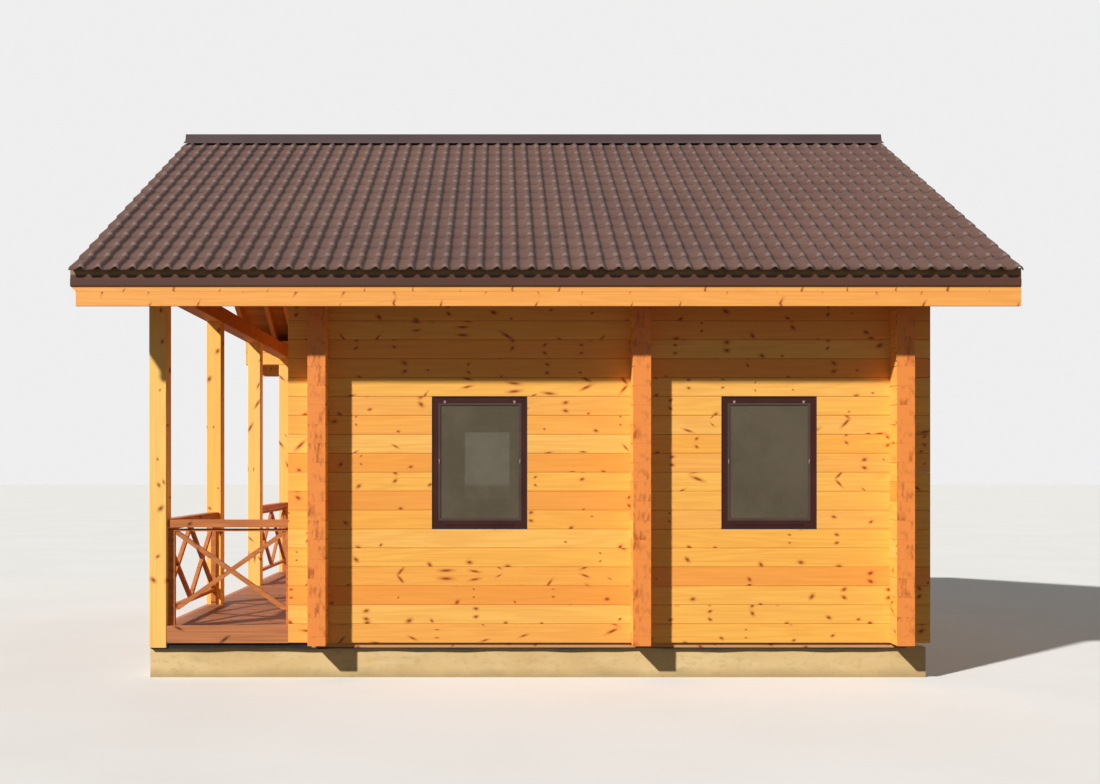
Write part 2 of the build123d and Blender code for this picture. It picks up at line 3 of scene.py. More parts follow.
import bpy
import numpy as np
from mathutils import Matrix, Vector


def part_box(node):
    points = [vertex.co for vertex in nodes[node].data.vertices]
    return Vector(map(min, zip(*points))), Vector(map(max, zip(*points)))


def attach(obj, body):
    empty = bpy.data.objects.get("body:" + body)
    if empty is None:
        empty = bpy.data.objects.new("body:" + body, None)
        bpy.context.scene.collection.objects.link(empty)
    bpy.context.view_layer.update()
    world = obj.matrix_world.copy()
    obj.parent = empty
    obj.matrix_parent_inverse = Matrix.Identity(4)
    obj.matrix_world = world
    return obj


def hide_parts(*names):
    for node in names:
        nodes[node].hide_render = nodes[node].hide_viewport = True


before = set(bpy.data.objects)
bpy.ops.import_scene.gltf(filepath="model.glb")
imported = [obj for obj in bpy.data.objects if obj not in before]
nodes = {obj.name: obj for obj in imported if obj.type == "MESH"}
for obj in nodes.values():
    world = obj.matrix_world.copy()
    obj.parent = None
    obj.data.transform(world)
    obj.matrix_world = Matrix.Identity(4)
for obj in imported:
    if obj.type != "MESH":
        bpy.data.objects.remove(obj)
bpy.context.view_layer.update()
print("frame loaded:", len(nodes), "nodes")


def corners(name):
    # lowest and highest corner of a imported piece, as arrays, in metres
    return [np.array(corner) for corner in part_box(name)]


nearLow = corners("near_wall_logs")[0]
partitionLow = corners("partition_logs")[0]
tilesLow, tilesHigh = corners("roof_tiles_near")
fasciaLow, fasciaHigh = corners("fascia_near")
flashingLow, flashingHigh = corners("eave_flashing_near")
deckLow, deckHigh = corners("porch_deck")
framesLow, framesHigh = corners("window_frames")
screensLow, screensHigh = corners("window_screens")

house = {
    "pitch": math.radians(27.8),
    "logHeight": 0.150,
    "windowCentres": (-0.505, 1.785),
}
slopeTan = math.tan(house["pitch"])
slopeCos = math.cos(house["pitch"])
wallBase = float(nearLow[2])


def linear(hexCode):
    # sRGB to linear: c / 12.92 when dark, else ((c + 0.055) / 1.055) to the power 2.4
    c = np.array([int(hexCode[i : i + 2], 16) / 255 for i in (0, 2, 4)])
    lin = np.where(c <= 0.04045, c / 12.92, ((c + 0.055) / 1.055) ** 2.4)
    return (*lin.tolist(), 1.0)


def addNode(tree, kind, inputs=(), output=0, **settings):
    # one shader node with its settings; inputs come in order or by name, as values or
    # sockets
    node = tree.nodes.new("ShaderNode" + kind)
    for name, value in settings.items():
        setattr(node, name, value)
    for key, value in inputs.items() if isinstance(inputs, dict) else enumerate(inputs):
        if isinstance(value, bpy.types.NodeSocket):
            tree.links.new(value, node.inputs[key])
        else:
            node.inputs[key].default_value = value
    return node.outputs[output]


def startMaterial(name, settings):
    # a new material whose constant values are set straight on the shader's sockets
    material = bpy.data.materials.new(name)
    material.use_nodes = True
    shader = material.node_tree.nodes["Principled BSDF"]
    for key, value in settings.items():
        shader.inputs[key].default_value = value
    return material, material.node_tree, shader


def layTones(tree, colour, coats):
    # lays tones over a colour one after the other: colour + share * (tone - colour)
    for share, tone in coats:
        colour = addNode(
            tree,
            "Mix",
            {0: share, 6: colour, 7: linear(tone)},
            output=2,
            data_type="RGBA",
        )
    return colour


def dress(names, material):
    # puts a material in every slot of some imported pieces
    for name in names:
        for slot in nodes[name].material_slots:
            slot.material = material


def smoothStep(values, start, end):
    # s squared times (3 - 2 s), where s goes from 0 at start to 1 at end
    s = np.clip((values - start) / (end - start), 0, 1)
    return s * s * (3 - 2 * s)


def addPiece(name, points, faces, material, smooth=False):
    # a mesh object at the origin from an array of points and a list of faces
    mesh = bpy.data.meshes.new(name)
    mesh.from_pydata(points.reshape(-1, 3).tolist(), [], faces)
    mesh.polygons.foreach_set("use_smooth", np.full(len(faces), smooth))
    mesh.materials.append(material)
    mesh.update()
    piece = bpy.data.objects.new(name, mesh)
    bpy.context.scene.collection.objects.link(piece)
    return piece


def gridFaces(rows, columns):
    # quads between neighbours on a grid, each going round from the first row's first point
    i, j = np.meshgrid(np.arange(rows - 1), np.arange(columns - 1), indexing="ij")
    a = (i * columns + j).ravel()
    return np.stack([a, a + 1, a + columns + 1, a + columns], axis=1).tolist()


def barsAlongX(starts, ends, centres, profile):
    # a profile of (y, z) points, clockwise seen from +X, carried along X: bar n has it at
    # (start n, centre n) and at (end n, centre n), with the sides between and two caps
    centres, profile = np.asarray(centres, float), np.asarray(profile, float)
    bars, sides = len(centres), len(profile)
    points = np.zeros((bars, 2, sides, 3))
    points[:, 0, :, 0] = np.broadcast_to(starts, bars)[:, None]
    points[:, 1, :, 0] = np.broadcast_to(ends, bars)[:, None]
    points[..., 1:] = centres[:, None, None, :] + profile[None, None]
    k = np.arange(sides)
    n = (k + 1) % sides
    first = (np.arange(bars) * 2 * sides)[:, None, None]
    quads = np.stack([k, k + sides, n + sides, n], axis=1)[None] + first
    caps = np.stack([k, k[::-1] + sides])[None] + first
    return points, quads.reshape(-1, 4).tolist() + caps.reshape(-1, sides).tolist()


# Planed spruce under a honey-coloured oil: yellow faces with long soft grain, dark round
# or slanting knots with an orange halo, and redder, duller cut ends that show the rings.
# "turn" lays the pattern's first axis along the piece. A course is one log or board. A range,
# here and below, is (start, end, share at the start, share at the end).
oiledSpruce = {
    "turn": (0, 0, 0),
    "slope": False,  # True for pieces that follow the roof
    "seed": 1.0,
    "course": house["logHeight"],
    "base": wallBase,
    "rowsAcross": False,  # True counts the courses sideways and not up
    "split": 0.0,  # where along the piece each course's tone changes
    "slide": 9.0,  # how far two courses' patterns may be shifted
    "roughness": 0.52,
    "specular": 0.35,
    "bump": 0.25,
    "bumpDepth": 0.0012,
    "tones": ["FFC15B", "FFBA4F", "FAA044", "FFC462", "FEAD4A"],
    "grain": "D98432",
    "grainDepth": 0.32,
    "grainPerMetre": 75.0,
    "grainStretch": 60.0,
    "grainNoise": (0.42, 0.72),  # where the grain starts and where it is full
    "figure": "E28F3C",
    "figureDepth": 0.22,
    "figurePerMetre": (0.5, 6, 6),
    "figureTurns": 60.0,
    "figureRelief": 0.5,
    "knot": "873C16",
    "halo": "D4732B",
    "coreRange": (0.2, 1.15, 0.92, 0.0),  # in knot sizes off the knot's middle
    "haloRange": (0.75, 2.1, 0.55, 0.0),
    "knotBend": 0.02,
    "knotSpacing": 0.30,
    "knotRow": house["logHeight"],
    "knotScatter": 0.9,
    "knotShare": 0.8,
    "knotSmall": 0.009,
    "knotLarge": 0.026,
    "knotPair": 0.032,
    "pairedShare": 0.5,
    "knotLean": 0.0,
    "knotTilt": 1.9,
    "knotStretch": 1.6,
    "spikeShare": 0.3,
    "spikeStretch": 1.6,
    # seam tone: painted shade in the groove between two courses or boards
    "seam": "A8601F",
    "seamWidth": 0.004,
    "seamCore": 0.3,
    "seamDepth": 0.35,
    "seamOnEnds": 0.35,
    "cutEnds": True,
    "cutFacing": 0.8,
    "endTones": ["F9994B", "EA8238"],
    "endSpread": 5.0,  # how far two cut ends may lie apart in the noise
    "smudge": "AA5220",
    "smudges": (((36, 10, 1), (0.48, 0.66, 0.0, 0.85)), ((11, 7, 1), (0.42, 0.6, 0.0, 1.0))),
    "pith": "C2682B",
    "pithRange": (0.004, 0.026, 0.35, 0.0),  # in metres off the pith
    "pithLine": 0.0,
    "pithScatter": 0.07,
    "pithHeights": (0.25, 0.75),  # in courses
    "ringWidth": 0.009,  # real rings are about 3 mm: drawn coarser, so that they show
    "ringShares": (0.1, 0.7),
    "ringBend": 0.03,
    "ringBendPerMetre": 22.0,
}


def knotField(tree, look, slid, lifted, rolls):
    # scattered points in cells one knot spacing long and one knot row high; a knot is an
    # ellipse about its point, tilted; some are pairs, one above the other and mirrored, and
    # some courses have long spikes. Returns the shares of the dark core and of the halo
    cellSize = (look["knotSpacing"], look["knotRow"], 1)
    spot = addNode(tree, "CombineXYZ", (slid, lifted))
    spot = addNode(tree, "VectorMath", (spot, cellSize), operation="DIVIDE")
    centre = addNode(
        tree,
        "TexVoronoi",
        {"Vector": spot, "Scale": 1.0, "Randomness": look["knotScatter"]},
        output="Position",
        voronoi_dimensions="2D",
    )
    dice = addNode(tree, "SeparateColor", (centre.node.outputs["Color"],)).node.outputs
    gap = addNode(tree, "VectorMath", (spot, centre), operation="SUBTRACT")
    gap = addNode(tree, "VectorMath", (gap, cellSize), operation="MULTIPLY")
    gap = addNode(tree, "SeparateXYZ", (gap,)).node.outputs
    paired = addNode(tree, "Math", (dice[1], 1 - look["pairedShare"]), operation="GREATER_THAN")
    apart = addNode(tree, "Math", (paired, look["knotPair"]), operation="MULTIPLY")
    mirrored = addNode(tree, "Math", (gap[1],), operation="ABSOLUTE")
    mirrored = addNode(tree, "Math", (mirrored, apart), operation="SUBTRACT")
    gapUp = addNode(tree, "Mix", (paired, (0, 0, 0), gap[1], mirrored), data_type="FLOAT")
    tilt = addNode(
        tree,
        "Math",
        (dice[2], look["knotTilt"], look["knotLean"] - look["knotTilt"] / 2),
        operation="MULTIPLY_ADD",
    )
    leaned = addNode(tree, "CombineXYZ", (gap[0], gapUp))
    leaned = addNode(
        tree,
        "VectorRotate",
        {"Vector": leaned, "Angle": tilt},
        rotation_type="Z_AXIS",
    )
    spiked = addNode(tree, "Math", (rolls[2], look["spikeShare"]), operation="LESS_THAN")
    stretch = addNode(
        tree,
        "Math",
        (spiked, look["knotStretch"] * look["spikeStretch"], look["knotStretch"]),
        operation="MULTIPLY_ADD",
    )
    stretch = addNode(tree, "CombineXYZ", (1.0, stretch))
    leaned = addNode(tree, "VectorMath", (leaned, stretch), operation="MULTIPLY")
    reach = addNode(tree, "VectorMath", (leaned,), output=1, operation="LENGTH")
    size = addNode(
        tree,
        "MapRange",
        (dice[0], 0.0, look["knotShare"], look["knotSmall"], look["knotLarge"]),
    )
    larger = addNode(tree, "Math", (spiked, 1.0, 1.0), operation="MULTIPLY_ADD")
    size = addNode(tree, "Math", (size, larger), operation="MULTIPLY")
    ratio = addNode(tree, "Math", (reach, size), operation="DIVIDE")
    present = addNode(tree, "Math", (dice[0], look["knotShare"]), operation="LESS_THAN")
    shares = []
    for fade in (look["coreRange"], look["haloRange"]):
        share = addNode(tree, "MapRange", (ratio, *fade), interpolation_type="SMOOTHSTEP")
        shares.append(addNode(tree, "Math", (share, present), operation="MULTIPLY"))
    return shares


def cutEndColour(tree, look, across, part, rolls):
    # rings = sine of the distance from a pith, which lies up to half its scatter off the
    # middle, bent by noise; smudges = two noises drawn out up the face and multiplied
    side = addNode(
        tree,
        "Math",
        (rolls[1], look["pithScatter"], -look["pithScatter"] / 2 - look["pithLine"]),
        operation="MULTIPLY_ADD",
    )
    side = addNode(tree, "Math", (side, across), operation="ADD")
    low, high = look["pithHeights"]
    rise = addNode(tree, "Math", (rolls[2], high - low, -high), operation="MULTIPLY_ADD")
    rise = addNode(tree, "Math", (rise, part), operation="ADD")
    rise = addNode(tree, "Math", (rise, look["course"]), operation="MULTIPLY")
    spread = addNode(tree, "Math", (rolls[0], look["endSpread"]), operation="MULTIPLY")
    disc = addNode(tree, "CombineXYZ", (side, rise, spread))
    wobble = addNode(
        tree,
        "TexNoise",
        {"Vector": disc, "Scale": look["ringBendPerMetre"], "Detail": 2.0},
        output="Color",
    )
    bent = addNode(
        tree,
        "VectorMath",
        (wobble, (look["ringBend"], look["ringBend"], 0), disc),
        operation="MULTIPLY_ADD",
    )
    bent = addNode(tree, "VectorMath", (bent, (1, 1, 0)), operation="MULTIPLY")
    radius = addNode(tree, "VectorMath", (bent,), output=1, operation="LENGTH")
    turns = addNode(tree, "Math", (radius, math.tau / look["ringWidth"]), operation="MULTIPLY")
    rings = addNode(tree, "Math", (turns,), operation="SINE")
    rings = addNode(tree, "MapRange", (rings, -1.0, 1.0, *look["ringShares"]))
    streaks = 1.0  # fine upright streaks where a slower noise lets them through
    for stretch, patches in look["smudges"]:
        cloud = addNode(tree, "VectorMath", (disc, stretch), operation="MULTIPLY")
        cloud = addNode(tree, "TexNoise", {"Vector": cloud, "Scale": 1.0, "Detail": 4.0})
        cloud = addNode(tree, "MapRange", (cloud, *patches))
        streaks = addNode(tree, "Math", (cloud, streaks), operation="MULTIPLY")
    heart = addNode(tree, "MapRange", (radius, *look["pithRange"]))
    first, ring = look["endTones"]
    return layTones(
        tree, linear(first), ((rings, ring), (heart, look["pith"]), (streaks, look["smudge"]))
    )


def woodMaterial(name, kind=oiledSpruce, **changes):
    # each course's tone comes from white noise; grain = noise drawn out along the piece;
    # figure = sine of slow noise; the courses are shifted against each other
    look = {**oiledSpruce, **kind, **changes}
    material, tree, shader = startMaterial(
        name, {"Roughness": look["roughness"], "Specular IOR Level": look["specular"]}
    )
    place = addNode(tree, "TexCoord", output="Object")
    if look["slope"]:  # along = |y| / cos(pitch), up = z + tan(pitch) |y|
        x, y, z = addNode(tree, "SeparateXYZ", (place,)).node.outputs
        away = addNode(tree, "Math", (y,), operation="ABSOLUTE")
        run = addNode(tree, "Math", (away, slopeCos), operation="DIVIDE")
        rise = addNode(tree, "Math", (away, slopeTan, z), operation="MULTIPLY_ADD")
        place = addNode(tree, "CombineXYZ", (run, x, rise))
    turned = addNode(tree, "Mapping", {"Vector": place, "Rotation": look["turn"]})
    along, across, up = addNode(tree, "SeparateXYZ", (turned,)).node.outputs

    lifted = addNode(tree, "Math", (up, look["base"]), operation="SUBTRACT")
    counted = lifted
    if look["rowsAcross"]:
        counted = addNode(tree, "Math", (across, look["base"]), operation="SUBTRACT")
    exact = addNode(tree, "Math", (counted, look["course"]), operation="DIVIDE")
    row = addNode(tree, "Math", (exact,), operation="FLOOR")
    part = addNode(tree, "Math", (exact,), operation="FRACT")
    beyond = addNode(tree, "Math", (along, look["split"]), operation="GREATER_THAN")
    key = addNode(tree, "CombineXYZ", (row, beyond, look["seed"]))
    chance = addNode(tree, "TexWhiteNoise", {"Vector": key}, output="Color", noise_dimensions="3D")
    rolls = addNode(tree, "SeparateColor", (chance,)).node.outputs
    slid = addNode(tree, "Math", (rolls[1], look["slide"], along), operation="MULTIPLY_ADD")
    core, halo = knotField(tree, look, slid, lifted, rolls)

    bent = addNode(tree, "Math", (halo, look["knotBend"], up), operation="MULTIPLY_ADD")
    fibre = addNode(tree, "CombineXYZ", (slid, across, bent))
    fine = look["grainPerMetre"]
    streak = addNode(
        tree,
        "VectorMath",
        (fibre, (fine / look["grainStretch"], fine, fine)),
        operation="MULTIPLY",
    )
    streak = addNode(
        tree,
        "TexNoise",
        {"Vector": streak, "Scale": 1.0, "Detail": 4.0, "Roughness": 0.62},
    )
    slow = addNode(tree, "VectorMath", (fibre, look["figurePerMetre"]), operation="MULTIPLY")
    slow = addNode(tree, "TexNoise", {"Vector": slow, "Scale": 1.0, "Detail": 2.0})
    swing = addNode(tree, "Math", (slow, look["figureTurns"]), operation="MULTIPLY")
    figure = addNode(tree, "Math", (swing,), operation="SINE")
    figure = addNode(tree, "MapRange", (figure, -1.0, 1.0, 0.0, 1.0))

    ramp = addNode(tree, "ValToRGB", (rolls[0],))
    stops = ramp.node.color_ramp.elements
    while len(stops) < len(look["tones"]):
        stops.new(0.5)
    for i, tone in enumerate(look["tones"]):
        stops[i].position = i / (len(look["tones"]) - 1)
        stops[i].color = linear(tone)
    grainShare = addNode(tree, "MapRange", (streak, *look["grainNoise"], 0.0, look["grainDepth"]))
    figureShare = addNode(tree, "Math", (figure, look["figureDepth"]), operation="MULTIPLY")
    # seam: painted shade in the groove between two courses or boards, weaker on the cut ends
    edge = addNode(tree, "Math", (part, 0.5), operation="SUBTRACT")
    edge = addNode(tree, "Math", (edge,), operation="ABSOLUTE")
    near = look["seamWidth"] / look["course"]
    seamShadeShare = addNode(
        tree,
        "MapRange",
        (edge, 0.5 - near, 0.5 - look["seamCore"] * near, 0.0, look["seamDepth"]),
    )
    coats = (
        (grainShare, look["grain"]),
        (figureShare, look["figure"]),
        (halo, look["halo"]),
        (core, look["knot"]),
    )
    colour = layTones(tree, ramp, coats)
    if look["cutEnds"]:
        facing = addNode(tree, "NewGeometry", output="Normal")
        facing = addNode(tree, "Mapping", {"Vector": facing, "Rotation": look["turn"]})
        facing = addNode(tree, "SeparateXYZ", (facing,))
        facing = addNode(tree, "Math", (facing,), operation="ABSOLUTE")
        cut = addNode(tree, "Math", (facing, look["cutFacing"]), operation="GREATER_THAN")
        endColour = cutEndColour(tree, look, across, part, rolls)
        colour = addNode(
            tree, "Mix", {0: cut, 6: colour, 7: endColour}, output=2, data_type="RGBA"
        )
        fading = look["seamOnEnds"] - 1
        faded = addNode(tree, "Math", (cut, fading, 1.0), operation="MULTIPLY_ADD")
        seamShadeShare = addNode(tree, "Math", (seamShadeShare, faded), operation="MULTIPLY")
    colour = layTones(tree, colour, [(seamShadeShare, look["seam"])])
    relief = (figure, look["figureRelief"], streak)
    height = addNode(tree, "Math", relief, operation="MULTIPLY_ADD")
    bumped = addNode(
        tree,
        "Bump",
        {"Strength": look["bump"], "Distance": look["bumpDepth"], "Height": height},
    )
    tree.links.new(colour, shader.inputs["Base Color"])
    tree.links.new(bumped, shader.inputs["Normal"])
    return material


quarter = math.pi / 2
acrossTurn = (0, 0, -quarter)
uprightTurn = (0, quarter, 0)
flatTurn = (-quarter, 0, 0)

# The long walls' logs run along X; they change where the partition crosses them.
dress(
    ["near_wall_logs", "far_wall_logs"],
    woodMaterial("oiledSpruceLongLogs", split=float(partitionLow[0])),
)
# The cross walls' logs run along Y, half a log lower, and their ends make the columns.
crossWalls = (
    "porch_wall_logs",
    "partition_logs",
    "rear_wall_logs",
    "porch_gable_logs",
    "rear_gable_logs",
)
unsplit = 9.0  # beyond every piece, so that its courses keep one tone
for number, name in enumerate(crossWalls):
    low, high = corners(name)
    material = woodMaterial(
        "oiledSpruce_" + name,
        turn=acrossTurn,
        seed=2.0 + number,
        base=wallBase - house["logHeight"] / 2,
        split=unsplit,
        pithLine=-float(low[0] + high[0]) / 2,  # across is -x after the turn
    )
    dress([name], material)
print("logs done")

# Uprights and boards that show one face of one plank: one course takes them whole.
onePiece = {"course": 9.0, "base": -4.0, "split": unsplit, "seamDepth": 0.0, "cutEnds": False}
boardTones = ["FFAF54", "FEA94D", "FFB35D", "FBA545"]
postPitch = 0.977  # each post stands in a course of its own, counted along the porch's front
dress(
    ["porch_posts"],
    woodMaterial(
        "oiledSprucePosts",
        onePiece,
        turn=uprightTurn,
        rowsAcross=True,
        seed=8.0,
        course=postPitch,
        base=-2 * postPitch,
        tones=["FFCE6B", "FFC962", "FFD276", "FFC45E"],
        grainDepth=0.2,
        figureDepth=0.12,
        knotSpacing=0.28,
    ),
)
# the tie beam's tones are darker and redder than the posts': painted shade under the porch roof
dress(
    ["porch_tie_beam"],
    woodMaterial(
        "oiledSpruceTieBeam",
        onePiece,
        turn=acrossTurn,
        seed=9.0,
        tones=["D9813A", "C97132"],
    ),
)
fasciaCourse = float(fasciaHigh[2] - fasciaLow[2]) / 2
dress(
    ["fascia_near", "fascia_far"],
    woodMaterial(
        "oiledSpruceFascia",
        seed=15.0,
        base=float(fasciaLow[2]),
        course=fasciaCourse,
        split=unsplit,
        tones=boardTones,
        knotSpacing=0.3625,
        knotRow=fasciaCourse,
        knotScatter=0.2,
        knotShare=0.75,
        knotSmall=0.006,
        knotLarge=0.045,
        knotPair=0.0,
        knotStretch=4.5,
        spikeShare=0.0,
        knotLean=-1.15,
        knotTilt=0.4,
        seamDepth=0.25,
        cutEnds=False,
    ),
)
dress(
    ["barge_boards_porch", "barge_boards_rear"],
    woodMaterial("oiledSpruceBarge", onePiece, slope=True, seed=16.0, tones=boardTones),
)
print("oiled timber done")

# The porch's rails, deck and edge boards: pine under a red-brown glaze; the rails' tones
# are lighter than the deck's.
glazed = {
    **onePiece,
    "tones": ["D88648", "CC7A41", "E09053", "C27040"],
    "grain": "7C3F20",
    "grainDepth": 0.5,
    "figure": "7C4022",
    "figureDepth": 0.25,
    "knot": "3D1C0C",
    "halo": "743A1C",
    "roughness": 0.6,
}
dress(
    ["front_railing_near", "front_railing_far"],
    woodMaterial("glazedPineFrontRails", glazed, turn=acrossTurn, seed=11.0),
)
dress(["near_railing", "far_railing"], woodMaterial("glazedPineSideRails", glazed, seed=12.0))
dress(
    ["porch_edge_boards", "porch_joists"],
    woodMaterial(
        "glazedPineEdge",
        glazed,
        seed=14.0,
        tones=["CB8252", "C17747"],
        grain="94522C",
    ),
)

# Sawn, unoiled softwood under the roof and the walls: duller and darker; the rafters' and roof
# boards' darker tones are also painted shade under the roof.
sawn = {**onePiece, "grainDepth": 0.45, "roughness": 0.75, "bump": 0.5}
dress(
    ["rafters"],
    woodMaterial("sawnRafters", sawn, slope=True, seed=17.0, tones=["C98A4B", "B97A3E"]),
)
dress(
    ["roof_boards_near", "roof_boards_far"],
    woodMaterial(
        "sawnRoofBoards",
        sawn,
        turn=flatTurn,
        seed=18.0,
        tones=["B97C45", "AA6D38", "C4884F"],
        course=0.1,
        base=0.0,
        seamDepth=0.8,
    ),
)
dress(
    ["tile_battens_near", "tile_battens_far", "ridge_board"],
    woodMaterial("sawnBattens", sawn, seed=19.0, tones=["B98A55", "A97A48"]),
)
dress(["sill_boards"], woodMaterial("sawnSill", sawn, seed=22.0, tones=["D9A46C", "CE965E"]))
# Indoors the floor boards are planed and bare. The door and its frame are under a dark
# brown glaze.
dress(
    ["room_floors"],
    woodMaterial(
        "planedFloorBoards",
        onePiece,
        turn=flatTurn,
        seed=20.0,
        tones=["D8A264", "CE9455", "DEAC70"],
        course=0.11,
        base=0.0,
        seamDepth=0.7,
    ),
)
dress(
    ["entrance_door", "door_frame"],
    woodMaterial(
        "glazedDoorWood",
        onePiece,
        turn=uprightTurn,
        seed=21.0,
        tones=["6B3A22", "5E321D"],
        grain="3A1C0E",
        figure="4A2614",
        knot="32180B",
        halo="4A2513",
        roughness=0.45,
    ),
)
print("glazed and sawn timber done")

coatRelief = 0.001  # how far a coat's fine grain can stand up, in metres


def coatMaterial(name, coat):
    # a first tone, then layers: each lays its tone where soft noise, drawn out by its
    # stretch, passes from low to high; a fine grain goes to the bump. Scales are cycles
    # per metre
    material, tree, shader = startMaterial(
        name, {"Roughness": coat["roughness"], **coat.get("shader", {})}
    )
    place = addNode(tree, "TexCoord", output="Object")
    colour = linear(coat["tone"])
    for tone, scale, stretch, low, high, depth in coat["layers"]:
        spot = addNode(tree, "VectorMath", (place, stretch), operation="MULTIPLY")
        cloud = addNode(
            tree,
            "TexNoise",
            {"Vector": spot, "Scale": scale, "Detail": 5.0, "Roughness": 0.6},
        )
        share = addNode(tree, "MapRange", (cloud, low, high, 0.0, depth))
        colour = layTones(tree, colour, [(share, tone)])
    fine = addNode(tree, "TexNoise", {"Vector": place, "Scale": coat["grain"], "Detail": 3.0})
    bumped = {"Strength": coat["bump"], "Distance": coatRelief, "Height": fine}
    bumped = addNode(tree, "Bump", bumped)
    tree.links.new(colour, shader.inputs["Base Color"])
    tree.links.new(bumped, shader.inputs["Normal"])
    return material, tree, shader, place, colour


def stain(tree, shader, colour, coats):
    # lays tones over a coat's colour and gives the shader the result
    tree.links.new(layTones(tree, colour, coats), shader.inputs["Base Color"])


# Pressed steel sheet with a matt brown coating. The gutters beside the rolls are darker,
# partly dirt and partly painted shade on the rolls' steep sides; painted shade lies at each
# row's head, below the next step; the crests are greyer, a painted sheen, and lighter at
# their feet, a painted highlight. The mesh carries the roll and row of each point in its
# "sheetPlace" attribute.
roofCoat = {
    "tone": "593E35",
    "layers": [
        ("63473C", 0.9, (1, 1, 1), 0.35, 0.65, 1.0),
        ("4E3732", 3.0, (1, 1, 1), 0.5, 0.75, 0.5),
        ("4A3A35", 17.0, (1, 1, 1), 0.5, 0.68, 0.45),
    ],
    "grain": 260.0,
    "bump": 0.3,
    "roughness": 0.72,
    "shader": {"Specular IOR Level": 0.25},
    # the dark tone is dirt and painted shade; the grey and light tones are painted sheen and
    # highlight
    "dirtAndShade": "2A1D1A",
    "footHighlight": "8E776D",
    "crestSheen": "544A47",
    "gutterLine": 0.96,  # places across a roll, from 0 to 1
    "crestLine": 0.72,
    "gutterRange": (0.015, 0.11, 1.0, 0.0),  # in rolls off the line
    "crestRange": (0.08, 0.22, 1.0, 0.0),
    "crestShare": 0.3,
    "footRange": (0.03, 0.13, 0.6, 0.0),  # in rows up from a row's foot
    "headShadeRange": (0.87, 0.97, 0.0, 0.7),
    "patchRange": (0.3, 0.6, 0.6, 0.95),
    "patchPerMetre": 14.0,
}
roofSteel, tree, shader, place, colour = coatMaterial("mattCoatedSteelTiles", roofCoat)
turns = addNode(tree, "Attribute", output="Vector", attribute_name="sheetPlace")
turns = addNode(tree, "SeparateXYZ", (turns,)).node.outputs
bands = []  # share of the gutter's band and of the crest's
for band in ("gutter", "crest"):
    shift = 1.5 - roofCoat[band + "Line"]
    off = addNode(tree, "Math", (turns[0], shift), operation="ADD")
    off = addNode(tree, "Math", (off,), operation="FRACT")
    off = addNode(tree, "Math", (off, 0.5), operation="SUBTRACT")
    off = addNode(tree, "Math", (off,), operation="ABSOLUTE")
    bands.append(addNode(tree, "MapRange", (off, *roofCoat[band + "Range"])))
gutter, crest = bands
patch = {"Vector": place, "Scale": roofCoat["patchPerMetre"], "Detail": 3.0}
patch = addNode(tree, "TexNoise", patch)
patch = addNode(tree, "MapRange", (patch, *roofCoat["patchRange"]))
# gutter band: darker partly from dirt, partly as painted shade on the rolls' shaded sides
dirtAndShade = addNode(tree, "Math", (gutter, patch), operation="MULTIPLY")
upRow = addNode(tree, "Math", (turns[1],), operation="FRACT")
# painted shade at each row's head, under the next row's step
headShade = addNode(tree, "MapRange", (upRow, *roofCoat["headShadeRange"]))
foot = addNode(tree, "MapRange", (upRow, *roofCoat["footRange"]))
# painted sheen: the crests are greyer
crestSheen = addNode(tree, "Math", (crest, roofCoat["crestShare"]), operation="MULTIPLY")
# painted highlight on the crests just above each step
footHighlight = addNode(tree, "Math", (foot, crest), operation="MULTIPLY")
stain(
    tree,
    shader,
    colour,
    (
        (crestSheen, roofCoat["crestSheen"]),
        (footHighlight, roofCoat["footHighlight"]),
        (headShade, roofCoat["dirtAndShade"]),
        (dirtAndShade, roofCoat["dirtAndShade"]),
    ),
)

ridgeCoat = {
    **roofCoat,
    "tone": "453635",
    "layers": [("4D3D3C", 1.5, (1, 1, 1), 0.35, 0.65, 1.0)],
}
ridgeSteel = coatMaterial("mattCoatedSteelRidge", ridgeCoat)[0]
dress(["ridge_cap", "roof_tiles_near", "roof_tiles_far"], ridgeSteel)

# Folded steel drip edge: a redder coating. Moss and dirt from the tiles lie in ochre
# patches on its upper half, painted lighter than they are as painted light in the shade
# under the tile edges, and its lower lip is dark.
dripCoat = {
    "tone": "5E3C2E",
    "layers": [("523327", 1.3, (0.3, 1, 3), 0.35, 0.65, 1.0)],
    "grain": 240.0,
    "bump": 0.2,
    "roughness": 0.6,
    "shader": {"Specular IOR Level": 0.3},
    "mossAndLight": "B89468",
    "mossRange": (-0.004, 0.010, 0.0, 0.7),  # in metres up from the middle
    "mossPatches": (0.3, 0.6, 0.45, 1.0),
    "mossPerMetre": 6.0,
    "lip": "2A1712",
    "lipRange": (0.003, 0.009, 0.8, 0.0),  # in metres up from the lower edge
}
dripSteel, tree, shader, place, colour = coatMaterial("coatedSteelDripEdge", dripCoat)
height = addNode(tree, "SeparateXYZ", (place,), output="Z")
middle = float(flashingLow[2] + flashingHigh[2]) / 2
# ochre patches on the upper half: moss, painted lighter to stand for light in the shade there
start, end, *shares = dripCoat["mossRange"]
mossAndLight = addNode(tree, "MapRange", (height, middle + start, middle + end, *shares))
cloud = {"Vector": place, "Scale": dripCoat["mossPerMetre"], "Detail": 4.0}
cloud = addNode(tree, "TexNoise", cloud)
cloud = addNode(tree, "MapRange", (cloud, *dripCoat["mossPatches"]))
mossAndLight = addNode(tree, "Math", (mossAndLight, cloud), operation="MULTIPLY")
foot = float(flashingLow[2])
start, end, *shares = dripCoat["lipRange"]
lip = addNode(tree, "MapRange", (height, foot + start, foot + end, *shares))
stain(tree, shader, colour, ((lip, dripCoat["lip"]), (mossAndLight, dripCoat["mossAndLight"])))
dress(["eave_flashing_near", "eave_flashing_far"], dripSteel)

